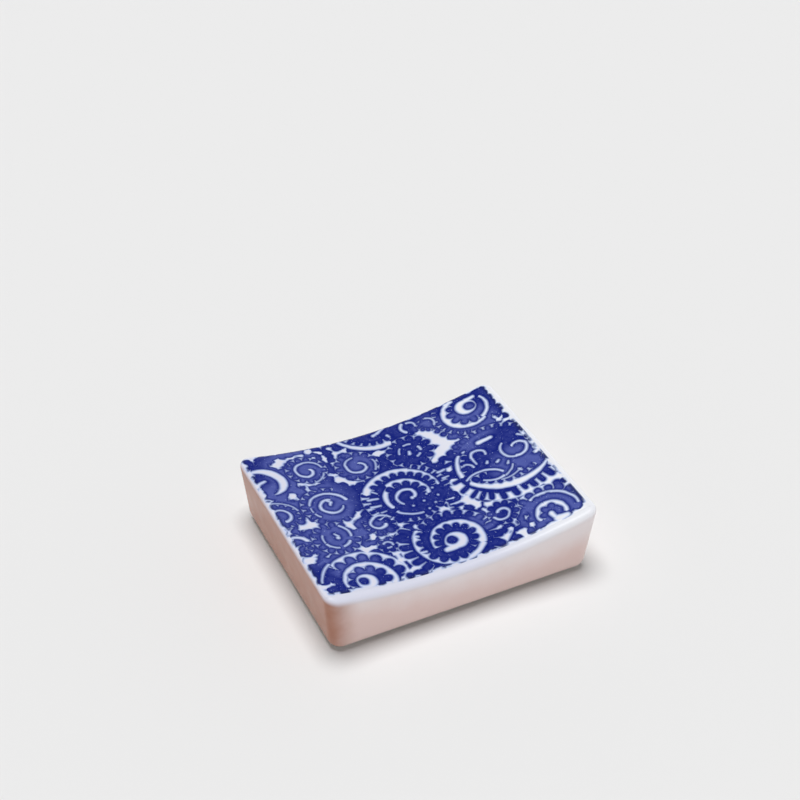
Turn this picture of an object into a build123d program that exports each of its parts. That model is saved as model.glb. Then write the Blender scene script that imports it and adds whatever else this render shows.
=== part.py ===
"""A glazed porcelain chopstick rest: a drafted slab whose top is dished to hold chopsticks.

The rest stands on Z = 0, centred on the origin, with its length along X.
Chopsticks lie along Y, in the low middle of the dish.
Four layers make it up: moulded clay with crisp edges, glaze that rounds them over the top and
the sides, a cobalt print on the glaze of the top, and a patch of glaze in the hollow underneath.
"""

import os
from math import atan, degrees

from build123d import *

# Outside form
LENGTH = 50.0  # over the rim, along X, before it is rounded
WIDTH = 40.6  # over the rim, along Y, before it is rounded
LEFT_END_HEIGHT = 12.85
RIGHT_END_HEIGHT = 13.85
SADDLE_DEPTH = 3.3  # middle of the dish, below the mean height of the two ends
SIDE_DRAFT = 1.2  # each side leans in by this much from the rim to the foot
CORNER_RADIUS = 2.2  # upright corners
RIM_ROUND = 0.8  # rounding between the dish and the sides
FOOT_ROUND = 2.0  # rounding between the sides and the foot

# Glaze, and the bare foot that it stops short of
GLAZE_THICKNESS = 0.4
BARE_FOOT_HEIGHT = 0.7

# Hollow of the underside
FOOT_RIM_WIDTH = 3.6  # from the outline of the foot to the mouth of the hollow
HOLLOW_DEPTH = 2.6
HOLLOW_CORNER_RADIUS = 3.0
HOLLOW_ROUND = 1.2  # where glaze pools between the walls and the ceiling of the hollow
HOLLOW_DRAFT = 12.0  # lean of the hollow's walls, in degrees

# Cobalt print, and its margins to where the flat of the dish meets the rounded rim
PRINT_THICKNESS = 0.06
PRINT_CORNER_RADIUS = 1.0
PRINT_LEFT_MARGIN = 0.1
PRINT_RIGHT_MARGIN = 0.2
PRINT_FRONT_MARGIN = 0.9
PRINT_BACK_MARGIN = 0.1

CUT_ROOM = 3.0  # how far a blank stands past the cut that trims it

rim_height = max(LEFT_END_HEIGHT, RIGHT_END_HEIGHT)
saddle_height = (LEFT_END_HEIGHT + RIGHT_END_HEIGHT) / 2 - SADDLE_DEPTH
draft_angle = degrees(atan(SIDE_DRAFT / rim_height))
foot_length = LENGTH - 2 * SIDE_DRAFT
foot_width = WIDTH - 2 * SIDE_DRAFT

# The dish is part of a cylinder that lies across the rest, through the ends and the middle
saddle = ThreePointArc(
    (-LENGTH / 2, LEFT_END_HEIGHT),
    (0, saddle_height),
    (LENGTH / 2, RIGHT_END_HEIGHT),
)


def saddle_section(lowered, mode=Mode.ADD):
    """End view of the cylinder that dishes the top, lowered by a distance."""
    with Locations((saddle.arc_center.X, saddle.arc_center.Y)):
        Circle(saddle.radius + lowered, mode=mode)


def dished_slab(inset):
    """The drafted slab with its dish, crisp at the rim, drawn in on its top and sides."""
    with BuildPart() as slab:
        with BuildSketch(Plane.XY):
            Rectangle(foot_length - 2 * inset, foot_width - 2 * inset)
        extrude(amount=rim_height + CUT_ROOM)
        walls = slab.faces().filter_by(Axis.Z, reverse=True)
        draft(walls, Plane.XY, -draft_angle)
        upright_edges = slab.edges().filter_by(Plane.XY, reverse=True)
        fillet(upright_edges, CORNER_RADIUS - inset)
        foot = slab.faces().sort_by(Axis.Z)[0]
        fillet(foot.edges(), FOOT_ROUND - inset)
        with BuildSketch(Plane.XZ):
            saddle_section(inset)
        extrude(amount=WIDTH, both=True, mode=Mode.SUBTRACT)
    return slab.part


def dish_of(piece):
    """The dished face on the outside of a piece."""
    dishes = piece.faces().filter_by(lambda face: face.geom_type == GeomType.CYLINDER)
    return dishes.sort_by(lambda face: abs(face.radius - saddle.radius))[0]


def underside_hollow(inset):
    """The space under the rest, crisp in its corners, drawn in on its walls and ceiling."""
    lean = 2 * (FOOT_RIM_WIDTH + inset)
    with BuildPart() as hollow:
        with BuildSketch(Plane.XY):
            RectangleRounded(foot_length - lean, foot_width - lean, HOLLOW_CORNER_RADIUS)
        extrude(amount=HOLLOW_DEPTH - inset, taper=HOLLOW_DRAFT)
    return hollow.part


outside = dished_slab(0)
clay_form = dished_slab(GLAZE_THICKNESS)
hollow_in_clay = underside_hollow(0)
hollow_in_glaze = underside_hollow(GLAZE_THICKNESS)

with BuildPart() as porcelain_body:
    add(clay_form)
    add(hollow_in_clay, mode=Mode.SUBTRACT)
porcelain_body.part.label = "porcelain_body"

with BuildPart() as outer_glaze:
    add(outside)
    fillet(dish_of(outer_glaze).edges(), RIM_ROUND)
    add(clay_form, mode=Mode.SUBTRACT)
    split(bisect_by=Plane.XY.offset(BARE_FOOT_HEIGHT), keep=Keep.TOP)
outer_glaze.part.label = "outer_glaze"

with BuildPart() as pooled_hollow:
    add(hollow_in_glaze)
    ceiling = pooled_hollow.faces().sort_by(Axis.Z)[-1]
    fillet(ceiling.edges(), HOLLOW_ROUND)

with BuildPart() as underside_glaze:
    add(hollow_in_clay)
    add(pooled_hollow.part, mode=Mode.SUBTRACT)
    split(bisect_by=Plane.XY.offset(BARE_FOOT_HEIGHT), keep=Keep.TOP)
underside_glaze.part.label = "underside_glaze"

# The print keeps inside the rounded rim, which draws in towards the low middle of the dish
rim_edges = dish_of(outer_glaze).edges()
print_left = (rim_edges.sort_by(Axis.X)[0] @ 0.5).X + PRINT_LEFT_MARGIN
print_right = (rim_edges.sort_by(Axis.X)[-1] @ 0.5).X - PRINT_RIGHT_MARGIN
print_front = (rim_edges.sort_by(Axis.Y)[0] @ 0.5).Y + PRINT_FRONT_MARGIN
print_back = (rim_edges.sort_by(Axis.Y)[-1] @ 0.5).Y - PRINT_BACK_MARGIN

with BuildPart() as cobalt_print:
    with BuildSketch(Plane.XY):
        with Locations(((print_left + print_right) / 2, (print_front + print_back) / 2)):
            RectangleRounded(print_right - print_left, print_back - print_front, PRINT_CORNER_RADIUS)
    extrude(amount=rim_height)
    with BuildSketch(Plane.XZ):
        saddle_section(0)
        saddle_section(-PRINT_THICKNESS, mode=Mode.SUBTRACT)
    extrude(amount=WIDTH, both=True, mode=Mode.INTERSECT)
cobalt_print.part.label = "cobalt_print"

os.makedirs("parts", exist_ok=True)
for piece in (porcelain_body, outer_glaze, underside_glaze, cobalt_print):
    export_step(piece.part, f"parts/{piece.part.label}.step")
    print(piece.part.label, round(piece.part.volume, 2), "mm3")
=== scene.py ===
# %% [markdown]
# # A blue and white porcelain chopstick rest
#
# A chopstick rest is a small slab of porcelain whose top is dished, so that the tips of a pair of
# chopsticks lie in it clear of the table. This one is moulded in white clay, covered in clear
# glossy glaze, and printed in cobalt blue with octopus scrolls, an old pattern of curling vines.
# The CAD model gives the size and the place of every layer, and this lesson dresses it.

# %% The CAD model as a fixed frame
from math import pi, radians

import bmesh
import bpy
from mathutils import Euler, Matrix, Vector


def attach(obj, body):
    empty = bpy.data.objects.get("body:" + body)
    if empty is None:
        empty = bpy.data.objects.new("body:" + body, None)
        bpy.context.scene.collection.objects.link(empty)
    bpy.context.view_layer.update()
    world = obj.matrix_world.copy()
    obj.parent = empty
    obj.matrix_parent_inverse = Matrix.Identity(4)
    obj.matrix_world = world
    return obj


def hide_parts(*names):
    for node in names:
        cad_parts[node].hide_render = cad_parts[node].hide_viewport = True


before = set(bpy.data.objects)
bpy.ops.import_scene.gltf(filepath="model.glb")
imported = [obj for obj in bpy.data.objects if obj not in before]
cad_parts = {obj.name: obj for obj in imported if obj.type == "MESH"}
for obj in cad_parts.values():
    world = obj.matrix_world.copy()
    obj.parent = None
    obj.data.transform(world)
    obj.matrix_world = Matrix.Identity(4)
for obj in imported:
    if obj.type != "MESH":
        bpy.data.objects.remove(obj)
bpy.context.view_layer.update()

MM = 0.001
scene = bpy.context.scene
print("CAD nodes:", ", ".join(sorted(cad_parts)))

# %% [markdown]
# ## The camera
#
# The photograph looks down on the front left corner of the rest from about an arm's length. Four
# numbers say so: the turn about the upright axis, the tilt, the distance, and the lens. The rest
# stands low in the picture, so the camera is slid sideways and up in its own plane until the point
# under the middle of the rest falls on its pixel. That keeps the lens free of any shift.

# %% The camera
IMAGE_SIDE = 800
FOCAL_LENGTH = 1563  # in pixels
VIEW_TURN = radians(25.6)
VIEW_TILT = radians(37.24)
VIEW_DISTANCE = 274.7 * MM
FOOT_CENTRE_PIXEL = (414.0, 539.8)

camera = bpy.data.objects.new("camera", bpy.data.cameras.new("camera"))
scene.collection.objects.link(camera)
scene.camera = camera
camera.data.sensor_width = 36
camera.data.lens = camera.data.sensor_width * FOCAL_LENGTH / IMAGE_SIDE
camera.data.clip_start = 10 * MM
camera.rotation_euler = Euler((pi / 2 - VIEW_TILT, 0, -VIEW_TURN))
pixel_size = VIEW_DISTANCE / FOCAL_LENGTH
across = (FOOT_CENTRE_PIXEL[0] - IMAGE_SIDE / 2) * pixel_size
below = (FOOT_CENTRE_PIXEL[1] - IMAGE_SIDE / 2) * pixel_size
camera.location = Vector((-across, below, VIEW_DISTANCE))
camera.location.rotate(camera.rotation_euler)
print(f"camera: {camera.data.lens:.1f} mm lens at {[round(c / MM) for c in camera.location]} mm")

# %% [markdown]
# ## Sums between sockets
#
# Every finish below is worked out from the place on the object by shader nodes. Written node by
# node that is long and hard to read, so one small class wraps a socket and lets Python's own
# signs add the nodes: the sum of two values is a new value, and the node behind it is made on the
# way. Anything that isn't a sum comes from the method called make.

# %% Sums between sockets
class Value:
    """A socket of a shader that takes part in sums."""

    def __init__(self, socket):
        self.socket = socket

    def make(self, kind, settings=None, inputs=None, output=0):
        """Adds a node beside this value: its settings first, then the values of its sockets."""
        tree = self.socket.id_data
        node = tree.nodes.new("ShaderNode" + kind)
        for name, setting in (settings or {}).items():
            setattr(node, name, setting)
        for key, value in (inputs or {}).items():
            if isinstance(value, Value):
                tree.links.new(value.socket, node.inputs[key])
            else:
                node.inputs[key].default_value = value
        return Value(node.outputs[output])

    def maths(self, operation, first, second=0.0):
        """One step of arithmetic with numbers."""
        return self.make("Math", {"operation": operation}, {0: first, 1: second})

    def __add__(self, other):
        return self.maths("ADD", self, other)

    def __sub__(self, other):
        return self.maths("SUBTRACT", self, other)

    def __rsub__(self, other):
        return self.maths("SUBTRACT", other, self)

    def __mul__(self, other):
        return self.maths("MULTIPLY", self, other)

    def __truediv__(self, other):
        return self.maths("DIVIDE", self, other)

    __radd__ = __add__
    __rmul__ = __mul__

    def least(self, other):
        return self.maths("MINIMUM", self, other)

    def most(self, other):
        return self.maths("MAXIMUM", self, other)

    def ramp(self, low, high, first=0.0, last=1.0):
        """Goes smoothly from the first number to the last as this value goes from low to high."""
        return self.make("MapRange", {"interpolation_type": "SMOOTHSTEP"},
                         {0: self, 1: low, 2: high, 3: first, 4: last})

    def blend(self, first, last):
        """A colour from the first to the last as this value goes from 0 to 1."""
        return self.make("Mix", {"data_type": "RGBA"}, {0: self, 6: first, 7: last}, output=2)

    def vector(self, operation, first, second, output=0):
        """One step of arithmetic with vectors."""
        return self.make("VectorMath", {"operation": operation}, {0: first, 1: second}, output)


def colour(red, green, blue):
    """A colour of light, in even steps of light rather than of the eye."""
    return red, green, blue, 1.0


print("sums between sockets are ready")

# %% [markdown]
# ## Floor and light
#
# The rest stands on a plain pale ground. A wide lamp hangs overhead and a little behind, so the
# shadow stays close under the rest and shows along its front. The rest of the light comes from a
# glow along the horizon, as from the white walls of a studio: it reaches the upright sides and the
# rounded rim, and leaves little for the glossy top to mirror, so that the blue stays deep.

# %% Floor and light
FLOOR_RADIUS = 3.0
FLOOR_WHITE = 0.785
FLOOR_ROUGHNESS = 0.9
FLOOR_SHINE = 0.1
SKY_LIGHT = 0.08
HORIZON_GLOW = 2.1
GLOW_FALL = 4  # how steeply the glow dims away from the horizon
LAMP_STRENGTH = 2.68
LAMP_SPREAD = radians(32)
LAMP_LEAN = (radians(-5), radians(-1), 0)

scene.view_settings.view_transform = "Standard"

shape = bmesh.new()
bmesh.ops.create_circle(shape, cap_ends=True, segments=64, radius=FLOOR_RADIUS)
floor = bpy.data.objects.new("floor", bpy.data.meshes.new("floor"))
shape.to_mesh(floor.data)
shape.free()
scene.collection.objects.link(floor)

paper = bpy.data.materials.new("pale_ground")
paper.use_nodes = True
paper_shader = paper.node_tree.nodes["Principled BSDF"]
paper_shader.inputs["Base Color"].default_value = colour(FLOOR_WHITE, FLOOR_WHITE, FLOOR_WHITE)
paper_shader.inputs["Roughness"].default_value = FLOOR_ROUGHNESS
paper_shader.inputs["Specular IOR Level"].default_value = FLOOR_SHINE
floor.data.materials.append(paper)

sky = bpy.data.worlds.new("sky")
scene.world = sky
sky.use_nodes = True
background = sky.node_tree.nodes["Background"]
background.inputs["Color"].default_value = colour(1, 1, 1)
direction = Value(sky.node_tree.nodes.new("ShaderNodeTexCoord").outputs["Generated"])
upwards = direction.make("SeparateXYZ", inputs={0: direction}, output="Z").most(0)
sky_light = SKY_LIGHT + HORIZON_GLOW * direction.maths("POWER", 1 - upwards, GLOW_FALL)
sky.node_tree.links.new(sky_light.socket, background.inputs["Strength"])

lamp = bpy.data.objects.new("lamp", bpy.data.lights.new("lamp", "SUN"))
lamp.data.energy = LAMP_STRENGTH
lamp.data.angle = LAMP_SPREAD
lamp.rotation_euler = Euler(LAMP_LEAN)
scene.collection.objects.link(lamp)
print(f"floor {2 * FLOOR_RADIUS:.0f} m across, glow {HORIZON_GLOW}, lamp {LAMP_STRENGTH}")

# %% [markdown]
# ## The glazed outside
#
# The outside is a slab with sides that lean in towards the foot, so that it drops out of its
# mould, and softly rounded edges, because glaze never keeps a sharp one. It starts as a box. The
# foot is drawn in, then the upright corners, the rim and the foot are rounded while the box is
# still plain, which is when bevels behave best. Slices across it let the top bend in the next
# step, and keep the rounded edges from bending the shading of the flat sides.

# %% The rounded slab
LENGTH = 50.0 * MM
WIDTH = 40.6 * MM
LEFT_END_HEIGHT = 12.85 * MM
RIGHT_END_HEIGHT = 13.85 * MM
SIDE_DRAFT = 1.2 * MM
CORNER_RADIUS = 2.2 * MM
RIM_ROUND = 1.27 * MM  # wider than in the CAD, because the bend of the dish sharpens the ends
FOOT_ROUND = 2.0 * MM
ROUND_STEPS = 8
SLICE = 1.0 * MM
LOWEST_SLICE = 3.0 * MM
HIGHEST_SLICE = 8.0 * MM
SNAP = 0.001 * MM  # a corner this near to a cut counts as lying on it

rim_height = max(LEFT_END_HEIGHT, RIGHT_END_HEIGHT)


def everything(shape):
    """All the corners, edges and faces of a shape."""
    return shape.verts[:] + shape.edges[:] + shape.faces[:]


def round_edges(shape, edges, radius):
    """Rounds edges of a shape."""
    bmesh.ops.bevel(shape, geom=edges, offset=radius, offset_type="OFFSET", affect="EDGES",
                    segments=ROUND_STEPS, profile=0.5, material=-1)


def slice_between(shape, axis, first, last):
    """Cuts a shape into even slices along an axis, from one place to another."""
    count = round((last - first) / SLICE)
    way = Vector()
    way[axis] = 1
    for step in range(count + 1):
        place = way * (first + (last - first) * step / count)
        bmesh.ops.bisect_plane(shape, geom=everything(shape), dist=SNAP,
                               plane_co=place, plane_no=way)


skin = bmesh.new()
bmesh.ops.create_cube(skin, size=1)
bmesh.ops.translate(skin, verts=skin.verts, vec=(0, 0, 0.5))
bmesh.ops.scale(skin, verts=skin.verts, vec=(LENGTH, WIDTH, rim_height))
foot_corners = [corner for corner in skin.verts if corner.co.z < rim_height / 2]
foot_scale = (1 - 2 * SIDE_DRAFT / LENGTH, 1 - 2 * SIDE_DRAFT / WIDTH, 1)
bmesh.ops.scale(skin, verts=foot_corners, vec=foot_scale)


def edges_between(shape, lowest, highest):
    """The edges of a shape whose two ends lie between two heights."""
    return [edge for edge in shape.edges if all(lowest <= end.co.z <= highest for end in edge.verts)]


level_edges = edges_between(skin, 0, SLICE) + edges_between(skin, rim_height - SLICE, rim_height)
round_edges(skin, [edge for edge in skin.edges if edge not in level_edges], CORNER_RADIUS)
round_edges(skin, edges_between(skin, rim_height - SLICE, rim_height), RIM_ROUND)
round_edges(skin, edges_between(skin, 0, SLICE), FOOT_ROUND)
slice_between(skin, 0, -LENGTH / 2 + CORNER_RADIUS, LENGTH / 2 - CORNER_RADIUS)
slice_between(skin, 1, -WIDTH / 2 + CORNER_RADIUS, WIDTH / 2 - CORNER_RADIUS)
slice_between(skin, 2, LOWEST_SLICE, HIGHEST_SLICE)
print(f"rounded slab: {len(skin.faces)} faces")

# %% [markdown]
# ## The dish
#
# The dish is so shallow that a parabola stands in for its arc, within two hundredths of a
# millimetre: it falls by the depth of the saddle from the ends to the middle, and the right end is
# a little higher than the left. The top and its rounded rim sink onto that curve together, and
# slide down the leaning sides as they go, so each point is also drawn in. What lies below the
# glaze line is then cut away, because the foot is left bare so as not to stick in the kiln.

# %% The dish
SADDLE_DEPTH = 3.3 * MM
BARE_FOOT_HEIGHT = 0.7 * MM
RIM_ZONE = 1.5 * RIM_ROUND  # what lies this near to the top sinks with it


def dish_height(x):
    """Height of the dish over the table at a place along the rest."""
    along = 2 * x / LENGTH
    ends = (LEFT_END_HEIGHT + RIGHT_END_HEIGHT) / 2
    tilt = (RIGHT_END_HEIGHT - LEFT_END_HEIGHT) / 2
    return ends - SADDLE_DEPTH * (1 - along ** 2) + tilt * along


for point in skin.verts:
    if point.co.z > rim_height - RIM_ZONE:
        sunk = rim_height - dish_height(point.co.x)
        drawn_in = SIDE_DRAFT * sunk / rim_height
        point.co.x *= 1 - 2 * drawn_in / LENGTH
        point.co.y *= 1 - 2 * drawn_in / WIDTH
        point.co.z -= sunk
bmesh.ops.bisect_plane(skin, geom=everything(skin), dist=SNAP, clear_inner=True,
                       plane_co=(0, 0, BARE_FOOT_HEIGHT), plane_no=(0, 0, 1))
bmesh.ops.recalc_face_normals(skin, faces=skin.faces)
print(f"glaze skin: {len(skin.faces)} faces, dish {dish_height(0) / MM:.2f} mm over the table")

# %% [markdown]
# ## The print's bed
#
# The transfer print lies on the dish and just turns over the rounded rim at the back and the left.
# Its bed is a copy of the faces of the skin that it covers, trimmed to the outline of the print,
# and both become closed layers with a thickness of their own.

# %% Layers of glaze and print
SKIN_THICKNESS = 0.3 * MM
PRINT_THICKNESS = 0.06 * MM
EDGE_SINK = -0.03 * MM  # the edge of the bed dips under the glaze, so that no step shows
PRINT_LEFT = -24.6 * MM
PRINT_RIGHT = 23.8 * MM
PRINT_FRONT = -18.6 * MM
PRINT_BACK = 19.9 * MM
LEAST_UPWARD = 0.5  # the print ends where the rim has turned 60 degrees away from upward


def finished(name, shape, node):
    """Makes an object of a shape, smooth, in place of a CAD node."""
    mesh = bpy.data.meshes.new(name)
    for face in shape.faces:
        face.smooth = True
    shape.to_mesh(mesh)
    shape.free()
    piece = bpy.data.objects.new(name, mesh)
    scene.collection.objects.link(piece)
    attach(piece, "root")
    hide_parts(node)
    print(f"{name}: {len(mesh.polygons)} faces")
    return piece


bed = skin.copy()
print_edges = [((PRINT_LEFT, 0, 0), (1, 0, 0)), ((PRINT_RIGHT, 0, 0), (-1, 0, 0)),
               ((0, PRINT_FRONT, 0), (0, 1, 0)), ((0, PRINT_BACK, 0), (0, -1, 0))]
for place, inwards in print_edges:
    bmesh.ops.bisect_plane(bed, geom=everything(bed), dist=SNAP, clear_inner=True,
                           plane_co=place, plane_no=inwards)
bed.normal_update()
side_faces = [face for face in bed.faces if face.normal.z < LEAST_UPWARD]
bmesh.ops.delete(bed, geom=side_faces, context="FACES")
for point in bed.verts:
    point.co += point.normal * (EDGE_SINK if point.is_boundary else PRINT_THICKNESS)
bmesh.ops.solidify(bed, geom=bed.faces[:], thickness=PRINT_THICKNESS)
bmesh.ops.solidify(skin, geom=skin.faces[:], thickness=SKIN_THICKNESS)
glaze_skin = finished("glaze_skin", skin, "outer_glaze")
scroll_print = finished("scroll_print", bed, "cobalt_print")

# %% [markdown]
# ## White glaze
#
# Clear glaze over white clay looks a little blue where it lies thick on the top. Painted light
# makes the top whiter towards the right. Down the sides a painted warm reflection and painted
# shade darken the glaze towards the foot, and the left end carries a painted brown reflection.
# The glaze pools and ripples very slightly, which breaks up reflections. One function works its
# colour out from the place on the object, in millimetres, because the ground of the print shows
# the same glaze and has to match it without a seam.

# %% White glaze
TOP_WHITE = colour(0.67, 0.68, 0.79)
# painted light: the top is whiter at its right end
RIGHT_PAINTED_LIGHT = colour(0.80, 0.81, 0.86)
# the sides carry a painted warm reflection, and painted shade darkens them low down
HIGH_SIDE_PAINTED_REFLECTION = colour(0.85, 0.78, 0.79)
LOW_SIDE_PAINTED_SHADE = colour(0.75, 0.575, 0.545)
# a painted brown reflection on the left end
END_PAINTED_REFLECTION = colour(0.38, 0.165, 0.105)
PAINTED_LIGHT_SPAN = (2, 22)  # along the rest, from the white of the top to the painted light at its right end
OVER_RIM = (0.2, 1.4)  # below the rim, from the white of the top to the painted colours of the sides
PAINTED_SHADE_SPAN = (1.5, 9.0)  # below the rim, from the painted warm reflection high on the sides to the painted shade low on them
PAINTED_SHADE_DROP_RIGHTWARDS = 0.08  # how much lower the painted shade of the sides begins for each millimetre to the right
PAINTED_REFLECTION_SPAN = (-19, -25)  # along the rest, from white to the painted brown reflection
CLOUD_SIZE = 4.0
CLOUD_SHIFT = 3.0  # clouds move these borders by up to this much
GLAZE_SHINE = 0.15
GLAZE_ROUGHNESS = 0.16
DULL_PATCHES = 0.08
DULL_PATCH_SIZE = 2.5
RIPPLE_SIZE = 5.0
RIPPLE_DEPTH = 0.04


def finish_of(name):
    """A new material: its shader, and the place on the object in millimetres."""
    material = bpy.data.materials.new(name)
    material.use_nodes = True
    nodes = material.node_tree.nodes
    place = Value(nodes.new("ShaderNodeTexCoord").outputs["Object"])
    scale = (1 / MM, 1 / MM, 1 / MM)
    millimetres = place.make("Mapping", {"vector_type": "POINT"}, {0: place, "Scale": scale})
    return material, nodes["Principled BSDF"], millimetres


def wire(shader, **values):
    """Links values to the sockets of a shader, or sets numbers on them."""
    for name, value in values.items():
        socket = shader.inputs[name.replace("_", " ")]
        if isinstance(value, Value):
            shader.id_data.links.new(value.socket, socket)
        else:
            socket.default_value = value


def noise(place, size, detail=2.0):
    """Smooth clouds between 0 and 1, a size in millimetres across."""
    return place.make("TexNoise", inputs={"Vector": place, "Scale": 1 / size, "Detail": detail})


def ripple(place, size, depth):
    """A surface that swells and sinks by a depth in millimetres."""
    return place.make("Bump", inputs={"Height": noise(place, size), "Distance": depth * MM})


def glaze_colour_and_painted_light(place):
    """Colour of the glaze at a place in millimetres, with painted light, shade and reflections."""
    x = place.make("SeparateXYZ", inputs={0: place}, output="X")
    height = place.make("SeparateXYZ", inputs={0: place}, output="Z")
    bend = SADDLE_DEPTH * MM / (LENGTH / 2) ** 2
    tilt = (RIGHT_END_HEIGHT - LEFT_END_HEIGHT) / LENGTH
    ends = x * x * bend + x * tilt
    below_rim = dish_height(0) / MM + ends - height
    clouds = noise(place, CLOUD_SIZE) * CLOUD_SHIFT
    # painted shade and a painted warm reflection, darker down the sides
    painted_side_shade = (below_rim + clouds - x * PAINTED_SHADE_DROP_RIGHTWARDS).ramp(*PAINTED_SHADE_SPAN)
    # a painted brown reflection towards the left end
    painted_end_reflection = (x + clouds - CLOUD_SHIFT / 2).ramp(*PAINTED_REFLECTION_SPAN)
    side = painted_end_reflection.blend(painted_side_shade.blend(HIGH_SIDE_PAINTED_REFLECTION, LOW_SIDE_PAINTED_SHADE), END_PAINTED_REFLECTION)
    # painted light makes the top whiter towards the right
    top = x.ramp(*PAINTED_LIGHT_SPAN).blend(TOP_WHITE, RIGHT_PAINTED_LIGHT)
    return below_rim.ramp(*OVER_RIM).blend(top, side)


def glossy(shader, place, surface_colour):
    """Wires a shader as glossy glaze of a colour, with faint ripples and duller patches."""
    dullness = DULL_PATCHES * noise(place, DULL_PATCH_SIZE)
    wire(shader, Base_Color=surface_colour, Specular_IOR_Level=GLAZE_SHINE,
         Roughness=GLAZE_ROUGHNESS + dullness, Normal=ripple(place, RIPPLE_SIZE, RIPPLE_DEPTH))


glaze, glaze_shader, place = finish_of("glossy_glaze")
glossy(glaze_shader, place, glaze_colour_and_painted_light(place))
glaze_skin.data.materials.append(glaze)
for material_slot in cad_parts["underside_glaze"].material_slots:
    material_slot.material = glaze
print("white glaze on the skin and in the hollow underneath")

# %% [markdown]
# ## Bare foot
#
# The foot is wiped clean of glaze before firing, so that the rest doesn't stick to its shelf. The
# bare clay is matt, finely grained, and a little toasted.

# %% Bare foot
BARE_WHITE = colour(0.72, 0.66, 0.60)
BARE_SHADE = colour(0.58, 0.50, 0.43)
SHADE_SIZE = 0.6
SHADE_DETAIL = 6.0
BARE_ROUGHNESS = 0.7
ROUGH_PATCHES = 0.2
ROUGH_PATCH_SIZE = 0.3
GRAIN_SIZE = 0.25
GRAIN_DEPTH = 0.03

bare, bare_shader, place = finish_of("bare_clay")
shade = noise(place, SHADE_SIZE, SHADE_DETAIL)
wire(bare_shader, Base_Color=shade.blend(BARE_WHITE, BARE_SHADE),
     Roughness=BARE_ROUGHNESS + ROUGH_PATCHES * noise(place, ROUGH_PATCH_SIZE),
     Normal=ripple(place, GRAIN_SIZE, GRAIN_DEPTH))
for material_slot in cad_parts["porcelain_body"].material_slots:
    material_slot.material = bare
print("bare clay on the foot")

# %% [markdown]
# ## Stencils for the print
#
# Octopus scrolls are vines that curl into eyes and spirals, with rows of round petals along their
# backs. The print is drawn as a potter would paint it, one shape over another, and what is kept
# while drawing is a single number: the distance in millimetres to the nearest edge of the ink,
# below zero inside it. Laying ink takes the least of two distances, and scraping it away takes the
# most of two. Four shapes are enough: a row of petals, a white spiral line, a white gap and a pod.
# Each is a node group that is made once and stamped many times, so the drawing stays light.

# %% Stencils for the print
NOTCH_CLOSE = 0.3  # how far inside the tips of a row the white of its notches ends
ROW_BACK = 0.3  # how far a row of petals reaches behind its notches
GAP_TAPER = 0.35  # share of its width that a gap loses on the way to its end
FAR_AWAY = 9.0  # added to a distance to keep a shape from showing there


def stencil(name, points, numbers, draw):
    """A node group that draws one shape, by points and numbers, onto the drawing so far."""
    tree = bpy.data.node_groups.new(name, "ShaderNodeTree")
    sockets = tree.interface
    for point in ["place"] + points:
        sockets.new_socket(point, in_out="INPUT", socket_type="NodeSocketVector")
    for number in ["edge"] + numbers:
        sockets.new_socket(number, in_out="INPUT", socket_type="NodeSocketFloat")
    sockets.new_socket("edge", in_out="OUTPUT", socket_type="NodeSocketFloat")
    given = tree.nodes.new("NodeGroupInput").outputs
    values = [Value(given[name]) for name in ["place"] + points + ["edge"] + numbers]
    drawn = draw(*values)
    tree.links.new(drawn.socket, tree.nodes.new("NodeGroupOutput").inputs[0])
    return tree


def along_arc(place, hub, start, reach):
    """Distance from a hub, and how much of an arc lies behind, as a share of its reach."""
    away = place.vector("SUBTRACT", place, hub)
    radius = away.make("VectorMath", {"operation": "LENGTH"}, {0: away}, output="Value")
    x = away.vector("DOT_PRODUCT", away, (1, 0, 0), "Value")
    y = away.vector("DOT_PRODUCT", away, (0, 1, 0), "Value")
    turn = away.maths("ARCTAN2", y, x) / (2 * pi)
    behind = (turn - start) * reach.maths("SIGN", reach)
    return radius, behind.maths("FRACT", behind) / reach.maths("ABSOLUTE", reach)


def draw_petals(place, hub, edge, first_tip, last_tip, start, reach, count, half_width, depth):
    """A row of round petals that point out from a hub, with white notches, and ink behind them."""
    radius, along = along_arc(place, hub, start, reach)
    past_tip = radius - (first_tip + (last_tip - first_tip) * along)
    petal = along * count
    sideways = (petal.maths("FRACT", petal) - 0.5) * radius * (2 * pi * reach / count)
    notch = past_tip + depth
    lengthways = (past_tip + half_width).most(-ROW_BACK - notch).most(0)
    squares = sideways * sideways + lengthways * lengthways
    petals = squares.maths("SQRT", squares) - half_width
    behind = notch.most(-ROW_BACK - notch)
    beyond = along.maths("GREATER_THAN", along, 1) * FAR_AWAY
    bare = notch.least(-NOTCH_CLOSE - past_tip) - beyond
    return edge.most(bare).least(petals.least(behind) + beyond)


def draw_line(place, hub, edge, first_radius, last_radius, start, reach, first_half, last_half, swell):
    """A white line that winds about a hub and comes to a point at both ends."""
    radius, along = along_arc(place, hub, start, reach)
    off_line = radius - (first_radius + (last_radius - first_radius) * along)
    half_width = (first_half + (last_half - first_half) * along).least(swell * along * (1 - along))
    return edge.most(half_width - off_line.maths("ABSOLUTE", off_line))


def from_stroke(place, start, end):
    """Distance from a straight stroke, and how much of it lies behind."""
    stroke = place.vector("SUBTRACT", end, start)
    away = place.vector("SUBTRACT", place, start)
    dot = away.vector("DOT_PRODUCT", away, stroke, "Value")
    share = dot / stroke.vector("DOT_PRODUCT", stroke, stroke, "Value")
    along = share.most(0).least(1)
    nearest = stroke.make("VectorMath", {"operation": "SCALE"}, {0: stroke, "Scale": along})
    return away.vector("DISTANCE", away, nearest, "Value"), along


def draw_gap(place, start, end, edge, half_width):
    """A straight white gap with round ends, narrower at its end than at its start."""
    distance, along = from_stroke(place, start, end)
    return edge.most(half_width * (1 - GAP_TAPER * along) - distance)


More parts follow.
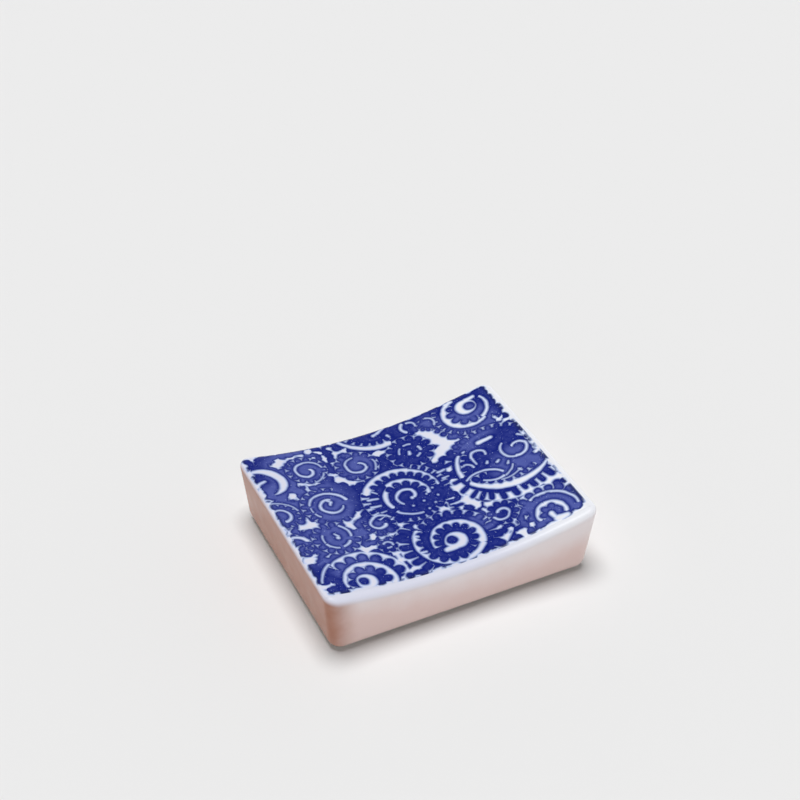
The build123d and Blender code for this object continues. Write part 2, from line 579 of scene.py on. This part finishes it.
def draw_pod(place, start, end, edge, half_width):
    """A single petal: a straight stroke of ink with round ends."""
    distance = from_stroke(place, start, end)[0]
    return edge.least(distance - half_width)


PETALS = stencil("petals", ["hub"], ["first_tip", "last_tip", "start", "reach", "count", "half_width",
                                     "depth"], draw_petals)
LINE = stencil("line", ["hub"], ["first_radius", "last_radius", "start", "reach", "first_half",
                                 "last_half", "swell"], draw_line)
GAP = stencil("gap", ["start", "end"], ["half_width"], draw_gap)
POD = stencil("pod", ["start", "end"], ["half_width"], draw_pod)
print("stencils:", ", ".join(tree.name for tree in (PETALS, LINE, GAP, POD)))

# %% [markdown]
# ## The drawing hand
#
# A drawing holds the distance to the edge of the ink so far, and stamps the stencils onto it.
# Places are in millimetres, seen from straight above, and turns are in degrees. The hand shakes a
# little: clouds of noise shift every place by a fraction of a millimetre, so that no line is quite
# true.

# %% The drawing hand
LINE_SWELL = 6.0  # how soon a line reaches its full width, for its length
WOBBLE = 0.16
WOBBLE_SIZE = 1.6


class Drawing:
    """The print so far, as the distance to the edge of its ink."""

    def __init__(self, place):
        self.place = place
        self.edge = None
        self.shapes = 0

    def stamp(self, tree, points, numbers):
        """Puts a stencil onto the drawing."""
        spots = [(x, y, 0) for x, y in points]
        self.edge = self.place.make("Group", {"node_tree": tree},
                                    dict(enumerate([self.place, *spots, self.edge, *numbers])))
        self.shapes += 1

    def petals(self, hub, tips, turns, count, depth, share=0.4):
        """A row of petals, each as wide each way as a share of the step to the next."""
        start, reach = turns[0] / 360, (turns[1] - turns[0]) / 360
        half_width = share * pi * sum(tips) * reach / count
        self.stamp(PETALS, [hub], [*tips, start, reach, count, half_width, depth])

    def line(self, hub, radii, turns, half_widths, swell=None):
        """A white line about a hub: radii, turns and half widths at its start and its end."""
        start, reach = turns[0] / 360, (turns[1] - turns[0]) / 360
        if swell is None:
            swell = LINE_SWELL * sum(radii) * abs(reach)
        self.stamp(LINE, [hub], [*radii, start, reach, *half_widths, swell])

    def moon(self, hub, radius, turns, half_width):
        """A white crescent, widest in its middle."""
        self.line(hub, (radius, radius), turns, (half_width, half_width), 4 * half_width)

    def gap(self, start, end, half_width):
        """A straight white stroke."""
        self.stamp(GAP, [start, end], [half_width])

    def spot(self, middle, radius):
        """A white disc."""
        self.gap(middle, middle, radius)

    def pod(self, start, end, half_width):
        """A straight stroke of ink."""
        self.stamp(POD, [start, end], [half_width])

    def dot(self, middle, radius):
        """A disc of ink."""
        self.pod(middle, middle, radius)


cobalt, cobalt_shader, place = finish_of("scroll_ink")
scroll_print.data.materials.append(cobalt)
flat = place.vector("MULTIPLY", place, (1, 1, 0))
wander = place.make("TexNoise", inputs={"Vector": flat, "Scale": 1 / WOBBLE_SIZE, "Detail": 1.0},
                    output="Color")
centred = place.vector("SUBTRACT", wander, (0.5, 0.5, 0.5))
shaky = place.vector("ADD", flat, place.vector("MULTIPLY", centred, (2 * WOBBLE, 2 * WOBBLE, 0)))
ink = Drawing(shaky)
print(f"a hand that shakes by up to {WOBBLE} mm")

# %% [markdown]
# ## White between the scrolls
#
# The scrolls crowd together, so the drawing starts from a sheet that is all ink, a little smaller
# than the top of the rest and ragged at its border. First, glaze is bared where vines part: small
# stars, slits and spots. Each is one straight stroke, given by its two ends and half its width in
# millimetres. Then the ink swells back over their edges in round lobes, one to each cell of a
# scattered pattern, as if small petals crowded in from all sides.

# %% White between the scrolls
SHEET_MIDDLE = (-0.45, 0.72, 0)
SHEET_HALF = (22.45, 17.47, 0)
SHEET_CORNER = 1.4
RAGGED = 0.8
RAGGED_SIZE = 1.1
SPREAD = 0.3  # every gap is bared this much wider, because the lobes close it again
LOBE_SPACING = 1.5
LOBE_RADIUS = 0.85
LOBE_SWELL = 0.5

from_middle = place.vector("SUBTRACT", flat, SHEET_MIDDLE)
folded = place.make("VectorMath", {"operation": "ABSOLUTE"}, {0: from_middle})
outside = place.vector("MAXIMUM", place.vector("SUBTRACT", folded, SHEET_HALF), (0, 0, 0))
past_sheet = place.make("VectorMath", {"operation": "LENGTH"}, {0: outside}, output="Value")
border = past_sheet - SHEET_CORNER
ink.edge = border + RAGGED * noise(flat, RAGGED_SIZE)

BACK_GAPS = [
    ((-18.8, 16.2), (-18.2, 16.8), 1), ((-18, 17.2), (-16.4, 17.2), 0.55),
    ((-16.5, 17.4), (-13.6, 17.6), 0.28), ((-18.8, 15.4), (-18.4, 15.2), 0.5),
    ((-12.1, 18.4), (-11.4, 19.4), 0.4), ((-9.4, 19.4), (-9.6, 18.2), 0.3),
    ((-10.1, 16.2), (-10, 14.9), 0.42), ((-11.9, 16.4), (-11.4, 16.6), 0.2),
    ((-10.8, 17.8), (-10, 17.2), 0.28), ((-8.2, 17.8), (-7.6, 17), 0.3),
    ((-7.8, 16.3), (-6, 16.4), 0.5), ((-7.8, 16), (-8.2, 14.7), 0.45),
    ((-6, 16.2), (-5.4, 16.7), 0.2), ((-9, 13.8), (-9.7, 13), 0.3), ((-1, 13.1), (0.9, 13.2), 0.64),
    ((0.4, 12), (0.6, 10.6), 0.18), ((0.8, 9.6), (1.1, 8.8), 0.22),
    ((5.3, 14.3), (5.6, 14.8), 0.38), ((9, 14.2), (10, 12), 1.4), ((10.2, 12), (10.8, 9.6), 1.8),
    ((10.8, 9.2), (9.2, 8), 1.5), ((9, 8), (7.2, 6.9), 1), ((7.3, 14), (8.6, 14.5), 0.45),
    ((11.5, 9.3), (13.1, 9.2), 0.4), ((-25, 19.6), (-22.4, 19.2), 0.8),
    ((-22.6, 18.6), (-22.6, 17.2), 0.2),
]
LEFT_GAPS = [
    ((-16.7, 9.8), (-15.6, 9.4), 0.5), ((-16.2, 9.3), (-16.1, 7.6), 0.3),
    ((-15.6, 9.4), (-13.6, 9.4), 0.3), ((-19.5, 6.8), (-19.4, 6.6), 0.88),
    ((-10.8, 11.2), (-9.9, 10.4), 0.32), ((-10, 9.4), (-9.3, 8.8), 0.9),
    ((-9, 8.6), (-8.4, 7.2), 0.6), ((-8.4, 7.6), (-6.6, 7.4), 0.4), ((-21, -1), (-18.2, -1.1), 0.9),
    ((-19.8, -0.8), (-19.6, 1), 0.55), ((-19.5, -1.2), (-19.1, -2.7), 0.55),
    ((-18.5, -1), (-16.9, -1.9), 0.45), ((-20.6, -1.4), (-21.4, -2.2), 0.45),
    ((-24.3, -2.3), (-23.1, -1.1), 0.32), ((-13.4, -2.2), (-12.8, -3.5), 0.64),
    ((-12.8, -2), (-11, -0.6), 0.48), ((-11.2, -0.7), (-9.7, 0.3), 0.44),
    ((-11.2, -7), (-10.4, -6.2), 0.45), ((-11.4, -7.1), (-12.3, -7.2), 0.22),
    ((-24.6, -6.2), (-23.4, -5.6), 0.35), ((-22.9, -7), (-22, -6.5), 0.28),
    ((-22, -6.5), (-20.9, -6.8), 0.14), ((-23, -7), (-23.3, -8.6), 0.16),
    ((-23.8, -9.5), (-22.4, -9.3), 0.95), ((-22.6, -8.9), (-21.3, -8.5), 0.25),
    ((-20.2, -9.3), (-19.1, -8.5), 0.3), ((-24.6, 7.4), (-23.7, 6.8), 0.45),
]
FRONT_GAPS = [
    ((-14, -8.4), (-13.3, -9.5), 0.45), ((-13.4, -9.6), (-11.9, -9.3), 0.6),
    ((-12, -9.3), (-11.2, -8.7), 0.18), ((-9.8, -7.5), (-6, -7.1), 0.38),
    ((-8.3, -7.2), (-8.4, -6.3), 0.28), ((-8.1, -7.2), (-8, -8), 0.32),
    ((-6.6, -7.2), (-5.9, -7.5), 0.4), ((-5.8, -3.9), (-5.6, -5.5), 0.3),
    ((-5.6, -5.6), (-4, -5.9), 0.4), ((-21, -11.8), (-20.5, -12.3), 0.3),
    ((-9.1, -12.4), (-9, -16.4), 0.55), ((-9.2, -12), (-7.4, -11.8), 0.6),
    ((-9, -14), (-6.8, -13.9), 0.4), ((-9, -16.6), (-5.9, -16.2), 0.5),
    ((-9.5, -16.8), (-11, -18), 0.4), ((-23.8, -16.2), (-21.8, -15.9), 0.4),
    ((0.6, -5.2), (0.9, -6.8), 0.34), ((-3, -7.2), (-1.7, -7), 0.3), ((7.9, -12), (8, -13.7), 0.45),
    ((8, -13.8), (9.8, -13.9), 0.26), ((10.2, -15.2), (8.2, -17.3), 0.4),
    ((11.6, -13.6), (11.6, -15), 0.48), ((13.7, -12), (13.3, -12.6), 0.22),
    ((13.9, -14), (13.7, -15.3), 0.16), ((13.9, -16), (13.8, -17.8), 0.2),
    ((11.7, -16.8), (11.8, -18.8), 0.65), ((8.8, -8.6), (9.2, -10.8), 0.36),
    ((5.2, -15.2), (6.2, -15.3), 0.2),
]
RIGHT_GAPS = [
    ((7.5, -1.2), (7.6, -5), 0.7), ((7.7, -5), (8.5, -7.4), 1.2), ((9.8, -7.9), (12.6, -8.4), 0.6),
    ((14.6, -7.8), (14.7, -10), 0.4), ((16.4, -7.4), (16.6, -10.8), 0.34),
    ((18.1, -9), (20.4, -9.1), 0.5), ((20.9, -8.9), (24, -9.4), 1), ((2.6, -5.3), (4.6, -5.6), 0.5),
    ((4, -5.2), (4.3, -4.2), 0.28), ((4.5, -4.9), (6.2, -4.8), 0.26), ((3, -5.6), (3, -6.8), 0.34),
    ((5.3, -6.8), (6.2, -6.4), 0.32), ((5, -3.4), (6, -3.6), 0.22),
    ((21.2, 10.4), (21.6, 9.4), 0.4), ((21.4, 9.6), (22.4, 9.8), 0.22),
    ((21.7, 8), (22.3, 8.5), 0.16), ((22.3, 8.5), (23.3, 8.6), 0.18),
    ((24.2, 15.6), (23.4, 15.4), 0.4), ((24.2, 12.2), (23.3, 12.2), 0.4),
    ((24.4, -1.6), (22.5, -1.9), 0.45), ((24.2, 4), (23.3, 3.6), 0.4),
    ((24.2, -11.9), (23.2, -11.5), 0.4),
]
for start, end, half_width in BACK_GAPS + LEFT_GAPS + FRONT_GAPS + RIGHT_GAPS:
    ink.gap(start, end, half_width + SPREAD)

cells = place.make("TexVoronoi", {"voronoi_dimensions": "2D"},
                   {"Vector": flat, "Scale": 1 / LOBE_SPACING})
from_lobe = cells * (LOBE_SPACING / LOBE_RADIUS)
roundness = (1 - from_lobe * from_lobe).most(0)
ink.edge = ink.edge - LOBE_SWELL * roundness.maths("SQRT", roundness)
print(f"{ink.shapes} gaps of bare glaze")

# %% [markdown]
# ## Petals round the scrolls
#
# Every scroll has round petals along its back. Round the great scrolls they stand in white bands,
# some of them long like the teeth of a comb, and elsewhere they bulge into the white stars. Where
# petals make a whole row, the row is drawn at once: its hub, the radius of its tips and its turn
# at both ends, how many petals it has, how deep its notches are, and, where they stand further
# apart or closer than usual, half the width of a petal as a share of the step to the next.

# %% Petals round the scrolls
RIGHT_SCROLL = (17, 0.8)
MIDDLE_SCROLL = (-1.1, 0.6)
FRONT_SCROLL = (18, -15.9)
LEFT_EYE = (-15.9, -16.7)
RIGHT_EYE = (17.8, 15.3)
MIDDLE_EYE_ROWS = (0.9, -12.8)  # hub of the rows round the middle eye
COMB = 0.33  # the petals of a comb stand further apart

BANDS = [
    (RIGHT_SCROLL, (9.4, 9.6), (180, 310), (0.8, 0.9)),
    (RIGHT_SCROLL, (9, 9), (146, 168), (0.5, 0.5)),
    (MIDDLE_EYE_ROWS, (8.8, 8.3), (137, 216), (0.8, 0.8)),
    (MIDDLE_EYE_ROWS, (8.2, 7.6), (-40, 6), (0.8, 0.6)),
    (LEFT_EYE, (6.7, 6.7), (-6, 134), (0.45, 0.45)),
    (FRONT_SCROLL, (6.2, 6.2), (28, 118), (0.45, 0.45)),
]
for band in BANDS:
    ink.line(*band)
FRINGES = [
    ((-14.4, 13.4), (3.9, 3.9), (0, 360), 13, 0.8), ((-5.6, 11.6), (4.2, 4.2), (0, 360), 13, 0.9),
    ((4.6, 11), (4.5, 4.5), (0, 360), 13, 1), ((10.2, 16.1), (2, 2), (0, 360), 9, 0.4),
    (RIGHT_EYE, (6.4, 6.6), (150, 255), 8, 0.9), ((-14.6, 3), (5.2, 5.1), (60, 300), 12, 0.8),
    ((-16.9, -5.2), (4.4, 4.4), (40, 350), 12, 0.9),
    ((-23.4, 2.4), (3.4, 3.4), (-105, 110), 8, 0.6, 0.42),
    ((-24, -5.4), (3, 3), (-100, 95), 7, 0.5, 0.42),
    ((-8.4, -3.9), (3, 3), (150, 360), 8, 0.7, 0.42),
    (MIDDLE_SCROLL, (8.2, 8.2), (150, 210), 5, 1.6, COMB),
    (MIDDLE_SCROLL, (6.9, 6.6), (208, 320), 8, 0.9),
    (MIDDLE_SCROLL, (8.2, 8.6), (-5, 60), 6, 1.2, 0.38),
    (RIGHT_SCROLL, (9, 9), (-40, 138), 16, 0.9), ((11.2, -11.1), (3, 3), (0, 360), 10, 0.7),
    ((-9.5, -9.6), (2, 2), (0, 360), 7, 0.6), (MIDDLE_EYE_ROWS, (9.6, 9), (135, 218), 6, 2, 0.38),
    (MIDDLE_EYE_ROWS, (9.2, 8.1), (-42, 8), 3, 2), (MIDDLE_EYE_ROWS, (8.1, 6.8), (15, 130), 7, 1.1),
    (LEFT_EYE, (6.8, 6.8), (0, 136), 6, 1.2), (FRONT_SCROLL, (6.6, 6.6), (5, 130), 7, 1.1),
]
for row in FRINGES:
    ink.petals(*row)

LONG_PETALS = [
    ((8.9, -0.3), (7.6, -0.5), 0.52), ((9.2, -2.4), (7.8, -3.1), 0.56),
    ((9.8, -4.2), (8.7, -5.1), 0.52), ((10.8, -5.2), (9.8, -6.3), 0.54),
    ((11.8, -5.8), (11.3, -7.1), 0.56), ((13.4, -6.4), (13.2, -8.1), 0.64),
    ((15.4, -6.8), (15.4, -8.5), 0.68), ((17.1, -6.8), (17.2, -8.1), 0.58),
    ((18.6, -6.6), (18.8, -8.5), 0.64), ((20.2, -6.2), (20.5, -8.3), 0.64),
    ((21.8, -5.8), (22.4, -8), 0.74), ((9.3, 4.4), (8, 4.3), 0.55), ((9.8, 5.4), (8.8, 6.1), 0.55),
    ((5.8, -16), (7.2, -16.5), 0.9), ((6.2, -14.8), (9.3, -15), 0.76),
    ((22, -10.4), (21.8, -11.7), 0.86), ((23.3, -12.5), (23.4, -15.9), 0.5),
    ((5, -4.3), (6, -4.3), 0.42), ((5.3, -5.6), (6.3, -5.7), 0.45), ((-6, -8.3), (-7.4, -8.7), 0.9),
]
for start, end, half_width in LONG_PETALS:
    ink.pod(start, end, half_width)
ROUND_PETALS = [
    ((-20.9, 0.3), 0.9), ((-18.75, 0.45), 0.55), ((-17.4, -0.5), 0.88), ((-17.9, -2.6), 0.85),
    ((-20.8, -2.7), 0.88), ((-15, 8.3), 0.95), ((-10.4, 7.5), 0.82), ((-8.6, 6.5), 0.65),
    ((-8, 9), 0.85), ((-9, 10.3), 0.7), ((-11.3, -2.4), 0.85), ((-7, 17.5), 0.9),
    ((-6.6, 15.2), 0.85), ((-8.9, 15.4), 0.55), ((11.1, 13.3), 0.65), ((11.7, 12), 0.75),
    ((13.1, 10.4), 0.98), ((13.6, 8.2), 0.9), ((11.9, 7.8), 0.8), ((10.4, 6.9), 0.8),
    ((-9.3, -17.6), 0.85), ((-7, -17.7), 0.95), ((-7.3, -6.1), 1), ((-9.4, -6.5), 0.7),
    ((-8.8, -7.9), 0.5), ((-4.8, -4.5), 0.85), ((3.1, -3.9), 0.8), ((9.1, -12.6), 0.95),
    ((-22.3, -17), 0.85), ((-21, -18), 0.9), ((-22.7, -11.7), 1), ((-17.2, 15.7), 0.5),
    ((12.2, -15.7), 0.6),
]
for middle, radius in ROUND_PETALS:
    ink.dot(middle, radius)
print(f"{len(FRINGES)} rows, {len(LONG_PETALS)} long and {len(ROUND_PETALS)} round petals")

# %% [markdown]
# ## Small curls
#
# A small curl is a hook of white line that winds once or twice and runs thin. Its line is given in
# stretches: the radius, the turn in degrees, and half the width, at the start and at the end.

# %% Small curls
CURLS = [
    ((-14.4, 13.4), [((0.5, 1.9), (22, -110), (0.36, 0.24)), ((1.85, 2.1), (-95, -270), (0.24, 0.18)),
                     ((2.05, 2.9), (-255, -362), (0.18, 0.14)), ((3, 3.6), (-30, -85), (0.1, 0.12))]),
    ((-5.6, 11.6), [((0.8, 1.75), (60, -40), (0.2, 0.2)), ((1.75, 1.95), (-25, -200), (0.24, 0.2)),
                    ((1.95, 2.4), (-185, -275), (0.2, 0.1)), ((3.3, 3.4), (12, -42), (0.1, 0.12))]),
    ((-14.4, 2.9), [((1.8, 1.68), (68, 250), (0.22, 0.26)), ((1.66, 2.2), (240, 350), (0.28, 0.1)),
                    ((3.4, 3.6), (12, 165), (0.3, 0.14)), ((3.5, 3.5), (172, 192), (0.1, 0.1)),
                    ((3.5, 3.5), (198, 222), (0.14, 0.14))]),
    ((-16.9, -5.2), [((2.2, 2.4), (146, 200), (0.12, 0.12)), ((2.4, 2.5), (203, 264), (0.2, 0.14)),
                     ((2.4, 2.3), (278, 332), (0.18, 0.2)), ((2.6, 3.4), (-5, 62), (0.16, 0.2))]),
    ((-8.4, -3.9), [((1, 1.5), (-20, -150), (0.34, 0.2)), ((1.5, 1.55), (-138, -252), (0.18, 0.2)),
                    ((1.5, 2.5), (-240, -345), (0.26, 0.14))]),
    ((-23.5, 2.3), [((1.75, 1.5), (120, -85), (0.16, 0.26)), ((3.5, 3.6), (15, 105), (0.12, 0.1))]),
    ((-23.9, -5.4), [((1.9, 2.3), (100, 12), (0.25, 0.45))]),
    ((-9.5, -9.6), [((0.8, 0.9), (150, -20), (0.16, 0.14)), ((0.6, 0.7), (230, 320), (0.14, 0.14))]),
    ((11.3, -11.2), [((1, 1.05), (158, -60), (0.24, 0.14)), ((1.05, 2), (-48, -178), (0.14, 0.24))]),
    ((7.3, 17.3), [((1.5, 1.6), (120, 238), (0.24, 0.28)), ((1.1, 1.2), (105, -32), (0.18, 0.14))]),
    ((10.3, 16.3), [((1.55, 1.5), (-45, 78), (0.16, 0.16))]),
    ((4.6, 11), [((2, 2), (62, 108), (0.17, 0.17)), ((1.85, 1.85), (-20, 24), (0.18, 0.18)),
                 ((1.8, 1.8), (-78, -38), (0.14, 0.14)), ((2.1, 2.1), (128, 178), (0.13, 0.13))]),
]
for hub, stretches in CURLS:
    for radii, turns, half_widths in stretches:
        ink.line(hub, radii, turns, half_widths)
ink.gap((-14.4, 4.5), (-13.9, 3.9), 0.26)
ink.gap((-13.9, 3.9), (-14.3, 3.2), 0.26)
ink.spot((-16.6, -5.2), 0.34)
ink.gap((-16.4, -4.8), (-16.8, -4.1), 0.22)
ink.gap((4.2, 10.5), (4.4, 11.1), 0.28)
print(f"{len(CURLS)} small curls")

# %% [markdown]
# ## Scrolls that the rim cuts
#
# A crescent fills the back left corner, and half a scroll hangs from the back edge. At the front
# right another stands on the front edge.

# %% Scrolls that the rim cuts
ink.moon((-23.1, 11.6), 3.45, (-78, 122), 0.85)
ink.gap((-25, 11.1), (-24, 11.3), 0.45)
ink.gap((-24.2, 11.4), (-22.6, 12.1), 0.36)

hanging = (1.5, 22)
ink.line(hanging, (8.1, 6.9), (200, 280), (0.3, 0.75))
ink.petals(hanging, (7.5, 6.5), (195, 285), 7, 0.9)
ink.gap((0.5, 18.1), (1.4, 18.4), 0.3)
ink.gap((1.4, 18.4), (2.9, 19.2), 0.3)
ink.gap((2.8, 17), (3, 16.5), 0.25)

ink.line(FRONT_SCROLL, (4.75, 4.95), (-8, 112), (0.2, 0.24))
ink.dot((17.3, -11.9), 0.85)
ink.dot((19.3, -12.2), 0.9)
ink.line(FRONT_SCROLL, (2.45, 2.45), (196, 90), (0.26, 0.5))
ink.line(FRONT_SCROLL, (2.45, 2.3), (98, -30), (0.5, 0.36))
ink.petals(FRONT_SCROLL, (2.4, 2.3), (40, 200), 3, 0.8)
ink.gap((17.8, -16), (18, -17.4), 0.5)
ink.gap((18.2, -17.6), (19.8, -17.8), 0.75)
ink.dot((19.2, -15.8), 0.85)
print(f"{ink.shapes} shapes so far")

# %% [markdown]
# ## The great scroll on the right
#
# A wide scroll with a crescent of white along its front, scalloped from inside. It holds a hook, a
# leaf and a curl.

# %% The great scroll on the right
front_arc = (17, 3.5)
ink.line(front_arc, (8.9, 9.5), (216, 270), (0.4, 0.85))
ink.line(front_arc, (9.5, 10.4), (262, 309), (0.85, 0.2))
ink.petals(front_arc, (8.5, 9.3), (214, 300), 8, 0.9)
ink.line(RIGHT_SCROLL, (7.35, 7.6), (141, 186), (0.25, 0.42))
ink.petals(RIGHT_SCROLL, (7, 7.3), (138, 178), 3, 0.9)
ink.line((11, 1.5), (1.2, 1.15), (100, -15), (0.14, 0.16))
hook = (14.25, 3.55)
ink.line(hook, (1.3, 1.35), (-30, 184), (0.16, 0.22))
ink.gap((12.95, 3.4), (13, 1.8), 0.2)
ink.gap((15.8, 6.4), (18.2, 6.4), 0.5)
leaf = (12.2, -4.5)
ink.line(leaf, (4.3, 4.3), (26, 128), (0.22, 0.16))
ink.petals(leaf, (4, 4), (70, 125), 2, 0.8)
ink.line((14.6, 0.3), (3.7, 3.9), (226, 288), (0.14, 0.24))
ink.line((15.5, 0.3), (3.9, 3.4), (275, 322), (0.12, 0.12))
ink.line((16, 1), (5.2, 5.4), (256, 302), (0.1, 0.1))
curl = (20.5, 1.4)
ink.line(curl, (2.9, 2.1), (120, 250), (0.14, 0.22))
ink.line(curl, (2, 1.9), (238, 375), (0.26, 0.22))
ink.line(curl, (1.9, 0.7), (5, 125), (0.22, 0.26))
GLINTS = [
    ((12.3, 5.7), (12.6, 5.8), 0.2), ((14.6, 1), (14.8, 1.3), 0.24),
    ((16.2, 0.2), (16.6, 0.5), 0.24), ((17.6, -1.2), (17.9, -0.8), 0.18),
    ((18.5, -3.6), (18.7, -4), 0.2), ((22.3, 4), (22.9, 3.3), 0.2),
]
for start, end, half_width in GLINTS:
    ink.gap(start, end, half_width)
print(f"{ink.shapes} shapes so far")

# %% [markdown]
# ## The great scroll in the middle
#
# The heart of the print: a spiral, a ring of petals, a white ring that opens to the left, and
# another ring of petals. Fine specks of bare glaze lie over it.

# %% The great scroll in the middle
ink.line(MIDDLE_SCROLL, (6.2, 6.8), (2, 75), (0.2, 0.5))
ink.line(MIDDLE_SCROLL, (6.8, 7), (62, 156), (0.5, 0.7))
ink.petals(MIDDLE_SCROLL, (6.4, 6.9), (6, 142), 9, 1)
ink.line(MIDDLE_SCROLL, (3.9, 4.2), (-15, 122), (0.3, 0.6))
ink.line(MIDDLE_SCROLL, (3.6, 3.85), (112, 210), (0.45, 0.36))
ink.petals(MIDDLE_SCROLL, (4.05, 4.35), (-5, 140), 5, 1.2, 0.38)
ink.line(MIDDLE_SCROLL, (1.2, 1.8), (-42, 45), (0.3, 0.28))
ink.line(MIDDLE_SCROLL, (1.8, 1.65), (32, 142), (0.3, 0.26))
ink.line(MIDDLE_SCROLL, (1.62, 2.2), (126, 234), (0.28, 0.14))
ink.spot((-0.45, -0.15), 0.34)
ink.line(MIDDLE_SCROLL, (4.4, 5), (220, 280), (0.2, 0.14))
TEETH = [
    ((-6.2, 4), (-5.6, 3.3), 0.16), ((-7.7, 2.2), (-6, 2), 0.24), ((-8.4, -0.3), (-8, 0.2), 0.18),
    ((-7.9, 0.3), (-6.3, 0.15), 0.24), ((-6.9, -1.6), (-6, -1.5), 0.12),
    ((4.7, 3.9), (4.8, 3.3), 0.16), ((5.1, 1.7), (5, 1.2), 0.16), ((6.3, 3.6), (7.6, 3.7), 0.24),
    ((6.4, 1.75), (7.4, 1.8), 0.2),
]
for start, end, half_width in TEETH:
    ink.gap(start, end, half_width)
SPECK_RADIUS = 0.17
SPECKS = [
    (2.2, -0.4), (1, -1.8), (3.8, -1.6), (2.6, -3), (1, -4), (3.7, 0.6), (-1.2, -2.1), (-4.2, -2.4),
]
for speck in SPECKS:
    ink.spot(speck, SPECK_RADIUS)
print(f"{ink.shapes} shapes so far")

# %% [markdown]
# ## The three eyes
#
# An eye is a dot in a white disc, in a ring of petals, in a white ring that swells on one side. The
# ring of the middle one winds on into a second turn, and the rim cuts the left one.

# %% The three eyes
middle_eye = (1.6, -12.7)
second_turn = (0.3, -12.6)
ink.line(middle_eye, (3.9, 4), (190, 70), (0.36, 0.45))
ink.line(middle_eye, (4, 4.3), (85, -42), (0.45, 0.75))
ink.line(second_turn, (5.7, 4.9), (-30, -110), (0.5, 0.45))
ink.line(second_turn, (4.9, 5.8), (-85, -230), (0.45, 0.42))
ink.petals(middle_eye, (3.95, 4.05), (-60, 190), 9, 1)
ink.petals(second_turn, (5.85, 5.1), (130, 290), 7, 0.9)
ink.gap((-5.2, -13.4), (-4.4, -13.4), 0.3)
ink.gap((-4.4, -9.3), (-4, -9.5), 0.3)
ink.spot((1.4, -13.1), 1.95)
ink.gap((0.6, -14.3), (-1, -14.5), 0.75)
ink.dot((0.8, -12.7), 1.05)

ink.line(LEFT_EYE, (4, 4.1), (-30, 105), (0.65, 0.5))
ink.line(LEFT_EYE, (4.1, 4.1), (88, 188), (0.5, 0.26))
ink.petals(LEFT_EYE, (3.9, 3.95), (-22, 195), 6, 1)
ink.line(LEFT_EYE, (7.4, 7.9), (130, 170), (0.2, 0.14))
ink.spot((-16.5, -16.7), 1.75)
ink.gap((-17.6, -18.5), (-15.6, -18.5), 0.9)
ink.dot((-17, -16.5), 0.95)

ink.line(RIGHT_EYE, (4, 4), (106, 205), (0.35, 0.7))
ink.line(RIGHT_EYE, (4, 4.1), (192, 302), (0.7, 0.25))
ink.line(RIGHT_EYE, (3.6, 4.2), (296, 388), (0.36, 0.2))
ink.gap((15.4, 18.8), (16.7, 18.9), 0.4)
ink.petals(RIGHT_EYE, (3.75, 3.9), (122, 290), 5, 1.1)
ink.spot((18.2, 16.2), 1.9)
ink.gap((19, 17.7), (20.5, 17.8), 0.5)
ink.dot((18.9, 16), 1.15)
print(f"{ink.shapes} shapes in the whole print")

# %% [markdown]
# ## Cobalt ink
#
# Cobalt sinks into the glaze as it melts: a stroke is dark, its edge is soft, and a pale blue halo
# spreads round it. Where the print is thin, the ink is paler inside its outline, as on the scroll
# on the right and along the left, and tiny white specks show where it didn't take. Along the
# border of the print the ink turns darker, nearly black.

# %% Cobalt ink
DARK_INK = colour(0.002, 0.010, 0.180)
PALE_INK = colour(0.080, 0.105, 0.370)
EDGE_INK = colour(0.012, 0.016, 0.075)
HALO_BLUE = colour(0.36, 0.50, 0.86)
SOFT_EDGE = 0.5
HALO_REACH = 0.5
HALO_STRENGTH = 0.7
OUTLINE = 0.9  # how far in from its edge the ink stays dark
PALE_WASH = 0.75  # how much paler the ink is inside a pale region
PATCH_WASH = 0.7  # how much paler patches make it anywhere
WASH_LOSS = 0.15  # so that the darkest patches stay fully dark
PATCH_SIZE = 1.1
PATCH_DETAIL = 3.0
REGION_FADE = (1.15, 0.75)  # where a pale region starts and is full, as shares of its radius
SPECK_SIZE = 0.28
SPECK_DETAIL = 1.0
SPECK_HEIGHT = (0.68, 0.76)  # only the highest clouds of a fine noise become specks
SPECK_STRENGTH = 0.5
LOBE_LIMIT = 0.3  # how far the lobes of the border may stand out past the sheet
DARK_BORDER_SPAN = (-1, 0.4)
PALE_REGIONS = [
    ((-18.5, 4), 8.5), ((-18, -5), 8), ((-16, 14), 6), ((-6, 12), 4), ((17, 12), 5),
    ((19, -2.5), 5), ((18, -15), 6), ((10.5, 15.5), 3), ((-17, -11.5), 4.5), ((-10.5, -6), 3.5),
    ((7.5, -11), 2.5), ((14, 9), 4),
]

edge = ink.edge.most(border - LOBE_LIMIT)
pale = 0.0
for (x, y), radius in PALE_REGIONS:
    distance = place.vector("DISTANCE", flat, (x, y, 0), "Value")
    pale = distance.ramp(REGION_FADE[0] * radius, REGION_FADE[1] * radius).most(pale)
patches = noise(flat, PATCH_SIZE, PATCH_DETAIL)
wash = PALE_WASH * pale + PATCH_WASH * patches - WASH_LOSS
washed = (edge.ramp(0, -OUTLINE) * wash).most(0)
specks = noise(flat, SPECK_SIZE, SPECK_DETAIL).ramp(*SPECK_HEIGHT, 0, SPECK_STRENGTH)
covered = edge.ramp(SOFT_EDGE / 2, -SOFT_EDGE / 2) * (1 - specks)
halo = edge.ramp(HALO_REACH, 0, 0, HALO_STRENGTH)
ground = halo.blend(glaze_colour_and_painted_light(place), HALO_BLUE)
# the ink turns nearly black along the border of the print
dark_border_ink = border.ramp(*DARK_BORDER_SPAN).blend(DARK_INK, EDGE_INK)
printed = covered.blend(ground, washed.blend(dark_border_ink, PALE_INK))
glossy(cobalt_shader, place, printed)
print(f"ink over {len(PALE_REGIONS)} pale regions")
